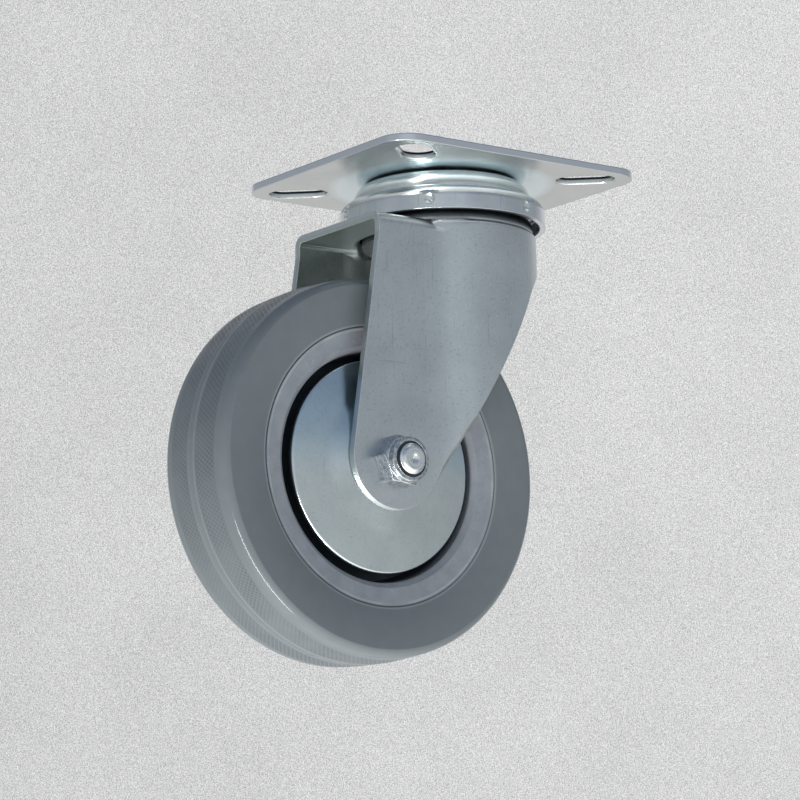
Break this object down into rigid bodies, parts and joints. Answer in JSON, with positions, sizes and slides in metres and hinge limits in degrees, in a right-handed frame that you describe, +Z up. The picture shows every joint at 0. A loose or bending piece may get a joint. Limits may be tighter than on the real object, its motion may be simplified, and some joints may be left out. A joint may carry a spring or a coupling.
{
  "type": "castor wheel",
  "caption": "Swivel plate castor: grey rubber wheel on ball bearings in a pressed steel fork, under a slotted top plate with a ball race swivel head.",
  "frame": {"origin": "on the swivel axis, on the upper face of the top plate", "axes": "+Z up, out of the plate's upper face along the swivel axis; the wheel trails towards -X and the axle runs along Y, nut at -Y"},
  "size_m": [0.1527, 0.091, 0.1657],
  "materials": {
    "zinc_sheet": "bright zinc plate, bluish passivation",
    "zinc_fork": "zinc-plated pressed steel, satin",
    "zinc_bright": "bright zinc plate",
    "dull_steel": "dull plated steel",
    "ball_steel": "polished hardened steel",
    "nylon": "nylon",
    "tyre_rubber": "grey non-marking rubber, matt",
    "rim_plastic": "dark grey moulded nylon",
    "seal_rubber": "black rubber"
  },
  "bodies": {
    "plate": {"top_plate": "zinc_sheet", "race_housing": "zinc_sheet", "upper_balls": "ball_steel", "king_pin": "zinc_bright", "lower_race": "dull_steel", "lower_balls": "ball_steel", "pin_washer": "dull_steel"},
    "swivel_fork": {"fork": "zinc_fork", "axle_bolt": "zinc_bright", "axle_nut": "zinc_bright", "nut_insert": "nylon", "near_guard": "zinc_sheet", "far_guard": "zinc_sheet", "near_spacer": "dull_steel", "far_spacer": "dull_steel", "near_inner_ring": "ball_steel", "far_inner_ring": "ball_steel", "inner_tube": "dull_steel"},
    "wheel": {"tyre": "tyre_rubber", "wheel_rim": "rim_plastic", "near_outer_ring": "ball_steel", "far_outer_ring": "ball_steel", "near_balls": "ball_steel", "far_balls": "ball_steel", "near_shield": "seal_rubber", "far_shield": "seal_rubber"}
  },
  "joints": [
    {"name": "swivel", "type": "hinge", "parent": "plate", "child": "swivel_fork", "pos_m": [0, 0, -0.0127], "axis": [0, 0, 1], "continuous": true},
    {"name": "wheel_spin", "type": "hinge", "parent": "swivel_fork", "child": "wheel", "pos_m": [-0.0392, 0, -0.10321], "axis": [0, 1, 0], "continuous": true}
  ]
}
